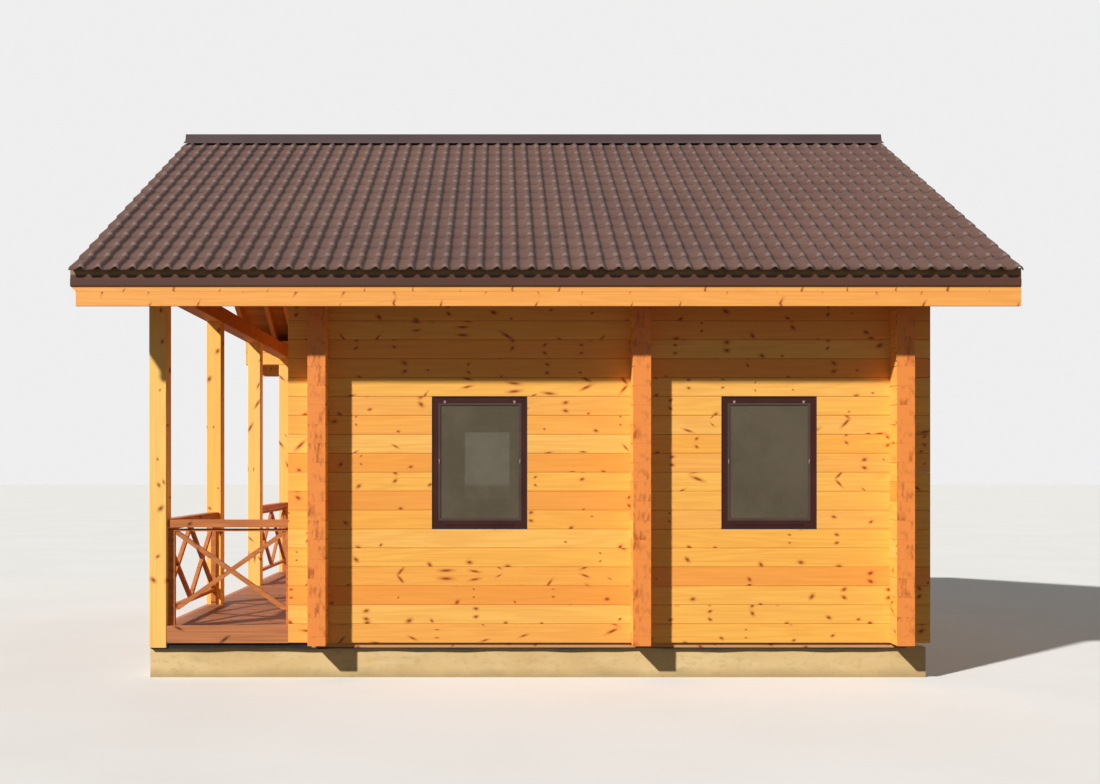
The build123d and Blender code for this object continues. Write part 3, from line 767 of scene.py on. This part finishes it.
# Sand-cement render with a cream wash, trowelled by hand; damp darkens its foot.
plinthCoat = {
    "tone": "E9C88D",
    "layers": [
        ("DAB67B", 1.2, (1, 1, 1), 0.35, 0.65, 1.0),
        ("B79A6A", 2.5, (0.6, 0.6, 2), 0.55, 0.75, 0.5),
        ("E8D6AE", 5.0, (0.5, 0.5, 3), 0.55, 0.75, 0.5),
        ("BFA068", 16.0, (1, 1, 1.6), 0.52, 0.7, 0.4),
    ],
    "grain": 180.0,
    "bump": 0.7,
    "roughness": 0.92,
    "damp": "A88E63",
    "dampRise": 0.12,
    "dampRange": (-0.02, 0.05, 0.0, 0.6),
    "dampPerMetre": 3.0,
}
washedRender, tree, shader, place, colour = coatMaterial("creamWashedRender", plinthCoat)
height = addNode(tree, "SeparateXYZ", (place,), output="Z")
cloud = {"Vector": place, "Scale": plinthCoat["dampPerMetre"], "Detail": 4.0}
cloud = addNode(tree, "TexNoise", cloud)
damp = addNode(tree, "Math", (cloud, plinthCoat["dampRise"]), operation="MULTIPLY")
damp = addNode(tree, "Math", (damp, height), operation="SUBTRACT")
damp = addNode(tree, "MapRange", (damp, *plinthCoat["dampRange"]))
stain(tree, shader, colour, [(damp, plinthCoat["damp"])])
dress(["plinth"], washedRender)

# Window profiles: smooth brown extrusions; the loose screens' frames are greyer, their
# clips pale moulded plastic, the seals black rubber that stands for the shade in the gaps
# round the frames. Panes: clear float glass with a faint film of dust, before a dim room.
# Felt: bitumen-coated and sanded, nearly black. Door handle: steel, brushed along its lever.
smooth = {"grain": 400.0, "bump": 0.1}
fittings = {
    "brownWindowProfile": {
        **smooth,
        "pieces": ["window_frames", "window_sashes"],
        "tone": "361712",
        "layers": [("421E18", 4.0, (1, 1, 1), 0.35, 0.65, 1.0)],
        "roughness": 0.5,
        "shader": {"Specular IOR Level": 0.25},
    },
    "greyBrownScreenProfile": {
        **smooth,
        "pieces": ["window_screens"],
        "tone": "493A34",
        "layers": [("53433C", 4.0, (1, 1, 1), 0.35, 0.65, 1.0)],
        "roughness": 0.55,
        "shader": {"Specular IOR Level": 0.25},
    },
    "palePlasticClip": {
        **smooth,
        "pieces": [],
        "tone": "A88F86",
        "layers": [("957B72", 40.0, (1, 1, 1), 0.4, 0.6, 1.0)],
        "roughness": 0.45,
    },
    "blackRubberSeal": {
        **smooth,
        "pieces": [],
        "tone": "120C0A",
        "layers": [("1E1613", 30.0, (1, 1, 1), 0.4, 0.6, 1.0)],
        "roughness": 0.7,
    },
    "bitumenFelt": {
        "pieces": [],
        "tone": "17110E",
        "layers": [("2B211B", 25.0, (1, 1, 1), 0.45, 0.65, 1.0)],
        "grain": 700.0,
        "bump": 0.6,
        "roughness": 0.9,
    },
    "dustyPaneGlass": {
        **smooth,
        "pieces": ["window_panes"],
        "tone": "F2F4EC",
        "layers": [("DDE0D5", 1.6, (1, 1, 0.6), 0.42, 0.62, 1.0)],
        "bump": 0.01,
        "roughness": 0.02,
        "shader": {"Transmission Weight": 1.0, "IOR": 1.5},
    },
    "brushedSteelHandle": {
        **smooth,
        "pieces": ["door_handle"],
        "tone": "B5B2AC",
        "layers": [("C8C5BF", 60.0, (1, 0.1, 1), 0.35, 0.65, 1.0)],
        "roughness": 0.32,
        "shader": {"Metallic": 1.0},
    },
}
for name, coat in fittings.items():
    dress(coat["pieces"], coatMaterial(name, coat)[0])
print("coats, render and glass done")

# Roof sheets: 15 rows of pressed tiles, 55 rolls from side to side.
sheet = {
    "rows": 15,
    "rolls": 55,
    "low": 0.024,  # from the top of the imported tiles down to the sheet's lowest plane
    "valley": 0.002,
    "roll": 0.022,
    "waveUp": (0.36, 0.68),  # places across a roll, from 0 to 1
    "waveDown": (0.76, 0.96),
    "step": 0.014,
    "scallop": 0.008,
    "ridgeGap": 0.004,
    "gauge": 0.0015,
}
# where the mesh has its lines in one roll (pan, rise, crest, drop and gutter) and in one
# row (foot to head), and how much of the step is left there
rollPlaces = np.array([0.0, 0.08, 0.40, 0.50, 0.58, 0.66, 0.80, 0.86, 0.91, 0.96])
rowPlaces = np.array([0.0, 0.03, 0.10, 0.95])
rowRise = np.array([0.0, 0.9, 1.0, 0.05])


def roofSheet(name, side):
    # |y| falls from the eave to the ridge. z = lowest plane + (valley + roll * wave +
    # step * rise) / cos(pitch). The wave is flat in the pan, rises slowly, is round on
    # top and drops steeply. The rise is 1 just above a row's foot and 0 at its head. The
    # rows' feet lie further up the slope in the pans than on the crests
    eave = max(abs(tilesLow[1]), abs(tilesHigh[1]))
    apex = tilesHigh[2] - sheet["low"] / slopeCos
    roll = np.repeat(np.arange(sheet["rolls"]), len(rollPlaces))
    u = np.append(roll + np.tile(rollPlaces, sheet["rolls"]), sheet["rolls"])[None, :]
    row = np.repeat(np.arange(sheet["rows"]), len(rowPlaces))
    v = np.append(row + np.tile(rowPlaces, sheet["rows"]), sheet["rows"])[:, None]
    rise = np.append(np.tile(rowRise, sheet["rows"]), 0.0)[:, None]
    u, v, rise = np.broadcast_arrays(u, v, rise)
    turn = u % 1
    wave = smoothStep(turn, *sheet["waveUp"]) - smoothStep(turn, *sheet["waveDown"])
    away = eave * (1 - v / sheet["rows"])
    atFoot = rise >= rowRise[1]
    setBack = np.where(atFoot, sheet["scallop"] * (1 - wave), 0.0)
    away = np.clip(away - setBack, sheet["ridgeGap"], None)
    lift = (sheet["valley"] + sheet["roll"] * wave + sheet["step"] * rise) / slopeCos
    across = (tilesHigh[0] - tilesLow[0]) * (u / sheet["rolls"] - 0.5)
    middle = (tilesHigh[0] + tilesLow[0]) / 2
    # the far sheets are the near ones turned half round
    points = np.stack(
        [middle - side * across, side * away, apex - slopeTan * away + lift], axis=-1
    )
    piece = addPiece(name, points, gridFaces(*across.shape), roofSteel, smooth=True)
    marks = piece.data.attributes.new("sheetPlace", "FLOAT_VECTOR", "POINT")
    marks.data.foreach_set("vector", np.stack([u, v, 0 * u], axis=-1).ravel())
    shell = piece.modifiers.new("gauge", "SOLIDIFY")
    shell.thickness = sheet["gauge"]
    shell.offset = -1.0
    return piece


for name, side, node in (
    ("roofSheetNear", -1, "roof_tiles_near"),
    ("roofSheetFar", 1, "roof_tiles_far"),
):
    piece = roofSheet(name, side)
    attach(piece, "root")
    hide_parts(node)
print("roof sheets done")

# Porch deck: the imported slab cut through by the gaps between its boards.
deck = {
    "board": 0.1257,
    "gap": 0.006,
    "round": 0.002,
    "weld": 0.0001,
    "cutHeight": 0.06,
    "overrun": 0.05,
}
deckBoards = bpy.data.objects.new("deckBoards", nodes["porch_deck"].data.copy())
bpy.context.scene.collection.objects.link(deckBoards)
weld = deckBoards.modifiers.new("weld", "WELD")
weld.merge_threshold = deck["weld"]
boardCount = int(round((deckHigh[1] - deckLow[1]) / deck["board"]))
gapLines = np.linspace(deckLow[1], deckHigh[1], boardCount + 1)[1:-1]
gapHeights = np.full(boardCount - 1, (deckLow[2] + deckHigh[2]) / 2)
gapCorners = np.array([[-1, -1], [-1, 1], [1, 1], [1, -1]])
gaps = addPiece(
    "boardGaps",
    *barsAlongX(
        deckLow[0] - deck["overrun"],
        deckHigh[0] + deck["overrun"],
        np.stack([gapLines, gapHeights], axis=1),
        gapCorners * (deck["gap"] / 2, deck["cutHeight"] / 2),
    ),
    roofSteel,
)
saw = deckBoards.modifiers.new("gaps", "BOOLEAN")
saw.operation = "DIFFERENCE"
saw.solver = "EXACT"
saw.object = gaps
cutDeck = deckBoards.evaluated_get(bpy.context.evaluated_depsgraph_get())
deckBoards.data = bpy.data.meshes.new_from_object(cutDeck)
deckBoards.modifiers.clear()
bpy.data.objects.remove(gaps)
deckBoards.data.materials.clear()
deckBoards.data.materials.append(
    woodMaterial(
        "glazedPineDeck",
        glazed,
        turn=flatTurn,
        seed=13.0,
        course=float(gapLines[1] - gapLines[0]),
        base=-float(deckHigh[1]),
        tones=["A0643F", "925936", "AC714B", "875132"],
    )
)
softened = deckBoards.modifiers.new("softened", "BEVEL")
softened.width = deck["round"]
softened.segments = 2
softened.limit_method = "ANGLE"
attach(deckBoards, "root")
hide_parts("porch_deck")
print("deck done:", len(deckBoards.data.polygons), "faces")

# Insect nets, stretched in the loose screens' frames.
net = {
    "bar": 0.020,  # width of the screen's frame
    "depth": 0.005,  # from the screen's face to its middle
    "belly": 0.0015,
    "yarnSpacing": 0.0014,
    "columns": 13,
    "rows": 19,
}
netCoat = {
    "tone": "60543F",
    "layers": [("6B5F49", 2.5, (1, 1, 1), 0.4, 0.6, 1.0)],
    "grain": 1 / net["yarnSpacing"],
    "bump": 0.2,
    "roughness": 0.8,
    "shader": {"Alpha": 0.73, "Specular IOR Level": 0.2},
    "thread": "8C8474",
    "threadRange": (0.2, 1.0, 0.0, 0.25),
}
# PVC-coated glass yarn; its 1.4 mm mesh is too fine to show, so it is a grey-brown film with
# faint threads that lets about a quarter of the light through
netYarn, tree, shader, place, colour = coatMaterial("coatedGlassYarnNet", netCoat)
weave = []
for axis in ("X", "Z"):
    line = addNode(tree, "SeparateXYZ", (place,), output=axis)
    line = addNode(tree, "Math", (line, math.tau / net["yarnSpacing"]), operation="MULTIPLY")
    weave.append(addNode(tree, "Math", (line,), operation="SINE"))
threads = addNode(tree, "Math", weave, operation="MAXIMUM")
threads = addNode(tree, "MapRange", (threads, *netCoat["threadRange"]))
stain(tree, shader, colour, [(threads, netCoat["thread"])])


def stretchedNet(name, centre, side):
    # x and z run over the screen's opening; y = screen's middle, minus a belly of
    # sin(pi u) sin(pi v) towards the pane
    width = 2 * (house["windowCentres"][0] - screensLow[0] - net["bar"])
    low, high = screensLow[2] + net["bar"], screensHigh[2] - net["bar"]
    u, v = np.meshgrid(np.linspace(0, 1, net["columns"]), np.linspace(0, 1, net["rows"]))
    outward = screensHigh[1] - net["depth"]
    outward = outward - net["belly"] * np.sin(math.pi * u) * np.sin(math.pi * v)
    across = -side * width * (u - 0.5)
    points = np.stack([centre + across, side * outward, low + (high - low) * v], axis=-1)
    piece = addPiece(name, points, gridFaces(*u.shape), netYarn, smooth=True)
    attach(piece, "root")


for side, wall in ((-1, "Near"), (1, "Far")):
    for centre, room in zip(house["windowCentres"], ("PorchRoom", "RearRoom")):
        stretchedNet("insectNet" + wall + room, centre, side)
print("nets done")

# Small parts on each window: two bent clips that hold the screen's top, two grips on its
# sides and the drained ledge on the frame's foot. Profiles are (outwards, up) from the
# face that the part sits on, in metres.
trim = {
    "clipAcross": 0.275,
    "clipWidth": 0.018,
    "gripWidth": 0.006,
    "gripHeight": 0.036,
    "gripReach": 0.005,
    "ledgeWidth": 0.540,
    "ledgeLow": 0.020,
    "ledgeHigh": 0.062,
}
clipProfile = [
    (0, 0.016),
    (0.002, 0.015),
    (0.003, 0.012),
    (0.003, 0.0),
    (0.001, -0.006),
    (-0.0015, -0.006),
    (-0.0015, -0.0005),
    (0, 0.0005),
]
arc = np.linspace(0, math.pi, 9)
gripProfile = np.stack(
    [trim["gripReach"] * np.sin(arc), trim["gripHeight"] / 2 * np.cos(arc)], axis=1
)
ledgeRise = trim["ledgeHigh"] - trim["ledgeLow"]
ledgeProfile = [
    (0, ledgeRise),
    (0.002, ledgeRise),
    (0.002, 0.6 * ledgeRise),
    (0.006, 0.5 * ledgeRise),
    (0.006, 0.4 * ledgeRise),
    (0.002, 0.3 * ledgeRise),
    (0.002, 0),
    (0, 0),
]
frameFace = float(framesHigh[1])
screenFace = float(screensHigh[1])


def windowTrim(name, profile, offsets, width, face, height, coat):
    # one bar per window and offset on both long walls, mirrored on the far wall
    centres = np.add.outer(house["windowCentres"], offsets).ravel()
    points, faces = [], []
    for side in (-1, 1):
        outline = np.array(profile) * (side, 1)
        if side < 0:
            outline = outline[::-1]
        bars, quads = barsAlongX(
            centres - width / 2,
            centres + width / 2,
            np.tile([side * face, height], (len(centres), 1)),
            outline,
        )
        first = sum(len(p) for p in points)
        points.append(bars.reshape(-1, 3))
        faces += [[first + corner for corner in quad] for quad in quads]
    piece = addPiece(name, np.concatenate(points), faces, bpy.data.materials[coat])
    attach(piece, "root")


windowTrim(
    "screenClips",
    clipProfile,
    (-trim["clipAcross"], trim["clipAcross"]),
    trim["clipWidth"],
    frameFace,
    float(screensHigh[2]),
    "palePlasticClip",
)
screenHalf = house["windowCentres"][0] - float(screensLow[0]) - net["bar"] / 2
windowTrim(
    "screenGrips",
    gripProfile,
    (-screenHalf, screenHalf),
    trim["gripWidth"],
    screenFace,
    float(screensLow[2] + screensHigh[2]) / 2,
    "palePlasticClip",
)
windowTrim(
    "drainedLedges",
    ledgeProfile,
    (0.0,),
    trim["ledgeWidth"],
    frameFace,
    float(framesLow[2]) + trim["ledgeLow"],
    "brownWindowProfile",
)
print("window trim done")


def ringAround(halves, steps, profile):
    # a closed profile of (outwards, up) points carried anticlockwise round a rectangle about
    # the origin, steps to a side: place = halves * (p, q) + outwards * (side of p, side of q),
    # where p and q run from corner to corner of the unit square. Returns (turn, profile, 3)
    turn = np.arange(4 * steps) / steps
    side = turn.astype(int)
    part = turn - side
    squareP, squareQ = np.array([1, -1, -1, 1, 1]), np.array([1, 1, -1, -1, 1])
    p = squareP[side] * (1 - part) + squareP[side + 1] * part
    q = squareQ[side] * (1 - part) + squareQ[side + 1] * part
    profile = np.asarray(profile, float)
    points = np.zeros((4 * steps, len(profile), 3))
    points[..., 0] = (halves[0] * p)[:, None] + np.outer(np.trunc(p), profile[:, 0])
    points[..., 1] = (halves[1] * q)[:, None] + np.outer(np.trunc(q), profile[:, 0])
    points[..., 2] = profile[:, 1]
    return points


def ringFaces(turns, sides):
    # quads that close both ways round
    i, j = np.meshgrid(np.arange(turns), np.arange(sides), indexing="ij")
    nextI, nextJ = (i + 1) % turns, (j + 1) % sides
    quads = (i * sides + j, nextI * sides + j, nextI * sides + nextJ, i * sides + nextJ)
    return np.stack([corner.ravel() for corner in quads], axis=1).tolist()


# Rubber seals round the window frames, between them and the logs: a rounded black lip that stands
# for the shade in the gap, painted shade as a piece.
sealProfile = [(0, 0), (0, 0.004), (-0.004, 0.0045), (-0.007, 0.003), (-0.008, 0)]
frameHalf = house["windowCentres"][0] - float(framesLow[0])
frameMiddle = float(framesLow[2] + framesHigh[2]) / 2
frameRise = float(framesHigh[2] - framesLow[2]) / 2
ring = ringAround((frameHalf, frameRise), 1, sealProfile)
points, faces = [], []
for side in (-1, 1):
    for centre in house["windowCentres"]:
        first = len(points) * ring[..., 0].size
        points.append(
            np.stack(
                [
                    centre - side * ring[..., 0],
                    side * (frameFace + ring[..., 2]),
                    frameMiddle + ring[..., 1],
                ],
                axis=-1,
            ).reshape(-1, 3)
        )
        faces += [[first + corner for corner in quad] for quad in ringFaces(*ring.shape[:2])]
rubber = bpy.data.materials["blackRubberSeal"]
seals = addPiece("windowGapShadeSeals", np.concatenate(points), faces, rubber)
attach(seals, "root")

# Bitumen felt: a layer between the plinth and the sill boards whose cut edge hangs out in
# small waves, and a black band over the sill under the porch that stands for the shade in
# the recess there, painted shade as a piece.
felt = {
    "inside": -0.030,
    "reach": 0.012,
    "thick": 0.0025,
    "droop": 0.007,
    "bends": (0.004, 0.006),  # where it turns down, on top and under, back from its edge
    "wave": 0.0036,
    "waves": (23, 59),  # times round the house
    "secondWave": 0.6,
    "steps": 160,
    "band": (-0.001, 0.002),
    "bandGap": 0.001,
}
sillLow, sillHigh = corners("sill_boards")
porchBack = float(corners("porch_wall_logs")[0][0])
feltMaterial = bpy.data.materials["bitumenFelt"]
feltBase = float(sillLow[2])
feltProfile = np.array(
    [
        (felt["inside"], 0),
        (felt["reach"] - felt["bends"][0], 0),
        (felt["reach"], -felt["droop"]),
        (felt["reach"] - felt["thick"], -felt["droop"]),
        (felt["reach"] - felt["bends"][1], -felt["thick"]),
        (felt["inside"], -felt["thick"]),
    ]
)[::-1]
sillHalves = (sillHigh[:2] - sillLow[:2]) / 2
sillMiddle = (sillHigh[:2] + sillLow[:2]) / 2
ring = ringAround(sillHalves, felt["steps"], feltProfile)
turn = np.linspace(0, math.tau, len(ring), endpoint=False)
ripple = np.sin(felt["waves"][0] * turn)
ripple += felt["secondWave"] * np.sin(felt["waves"][1] * turn + 1.0)
hangs = feltProfile[:, 1] < -felt["thick"]
ring[..., 2] += feltBase + felt["wave"] * np.outer(ripple, hangs)
ring[..., :2] += sillMiddle
layer = addPiece("dampFelt", ring, ringFaces(*ring.shape[:2]), feltMaterial)
bandBack, bandFront = felt["band"]
bandRise = float(sillHigh[2] - sillLow[2]) - felt["bandGap"]
bandProfile = [(bandBack, 0), (bandFront, 0), (bandFront, bandRise), (bandBack, bandRise)]
bandHalves = ((porchBack - sillLow[0]) / 2, sillHalves[1])
ring = ringAround(bandHalves, 1, bandProfile)
ring += ((porchBack + sillLow[0]) / 2, 0, feltBase)
band = addPiece("porchShadeBand", ring, ringFaces(*ring.shape[:2]), feltMaterial)
for piece in (layer, band):
    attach(piece, "root")
print("seals and felt done")

# Floor, light and camera.
paperCoat = {
    "tone": "DEDCD8",
    "layers": [("DBD9D4", 0.5, (1, 1, 1), 0.4, 0.6, 1.0)],
    "grain": 50.0,
    "bump": 0.02,
    "roughness": 0.95,
    "shader": {"Specular IOR Level": 0.1},
    "bounce": "686663",
    "half": 150.0,
}
# matt pale paper; it throws less light up at the house than the camera sees on it
paper, tree, shader, _, colour = coatMaterial("palePaper", paperCoat)
seen = addNode(tree, "LightPath", output="Is Camera Ray")
away = addNode(tree, "Math", (1.0, seen), operation="SUBTRACT")
stain(tree, shader, colour, [(away, paperCoat["bounce"])])
floorCorners = np.array([[-1, -1, 0], [1, -1, 0], [1, 1, 0], [-1, 1, 0]])
floor = addPiece("floor", paperCoat["half"] * floorCorners, [[0, 1, 2, 3]], paper)

light = {
    "backHeading": (0.6, 0.8, 0),
    "fillRange": (0.2, 0.7, 0.10, 0.68),  # by the cosine off that heading
    "backdrop": 0.86,
    "sun": 4.8,
    "softness": 2.0,
    "azimuth": 46.0,
    "height": 36.5,
}
world = bpy.data.worlds.new("studio")
bpy.context.scene.world = world
world.use_nodes = True
studio = world.node_tree
paths = addNode(studio, "LightPath").node.outputs
seen = addNode(
    studio,
    "Math",
    (paths["Is Camera Ray"], paths["Is Glossy Ray"]),
    operation="MAXIMUM",
)
seen = addNode(studio, "Math", (seen, paths["Is Transmission Ray"]), operation="MAXIMUM")
# the fill is stronger on the rear and far sides, which the key doesn't reach
heading = addNode(studio, "TexCoord", output="Generated")
heading = addNode(
    studio,
    "VectorMath",
    (heading, light["backHeading"]),
    output=1,
    operation="DOT_PRODUCT",
)
fill = addNode(studio, "MapRange", (heading, *light["fillRange"]))
strength = addNode(studio, "Mix", (seen, (0, 0, 0), fill, light["backdrop"]), data_type="FLOAT")
background = studio.nodes["Background"]
background.inputs["Color"].default_value = (1, 1, 1, 1)
studio.links.new(strength, background.inputs["Strength"])

keyData = bpy.data.lights.new("softKey", "SUN")
keyData.energy = light["sun"]
keyData.angle = math.radians(light["softness"])
key = bpy.data.objects.new("softKey", keyData)
bpy.context.scene.collection.objects.link(key)
# the key comes from the front and from the porch's side
key.rotation_euler = (math.radians(90 - light["height"]), 0, math.radians(-light["azimuth"]))

# The camera stands at head height before the long wall and looks straight at it; the
# middle of its view lies left of the picture's middle and below it.
view = {
    "place": (-0.3435, -12.975, 1.63),
    "lens": 41.27,
    "sensor": 36.0,
    "sight": 400.0,
    "imageWidth": 1100,
    "imageHeight": 784,
    "centreColumn": 500,
    "centreRow": 472,
}
cameraData = bpy.data.cameras.new("camera")
cameraData.lens = view["lens"]
cameraData.sensor_width = view["sensor"]
cameraData.shift_x = (view["imageWidth"] / 2 - view["centreColumn"]) / view["imageWidth"]
cameraData.shift_y = (view["centreRow"] - view["imageHeight"] / 2) / view["imageWidth"]
cameraData.clip_end = view["sight"]
camera = bpy.data.objects.new("camera", cameraData)
camera.location = view["place"]
camera.rotation_euler = (math.pi / 2, 0, 0)
bpy.context.scene.collection.objects.link(camera)
bpy.context.scene.camera = camera
bpy.context.scene.view_settings.view_transform = "Standard"

print("scene done")
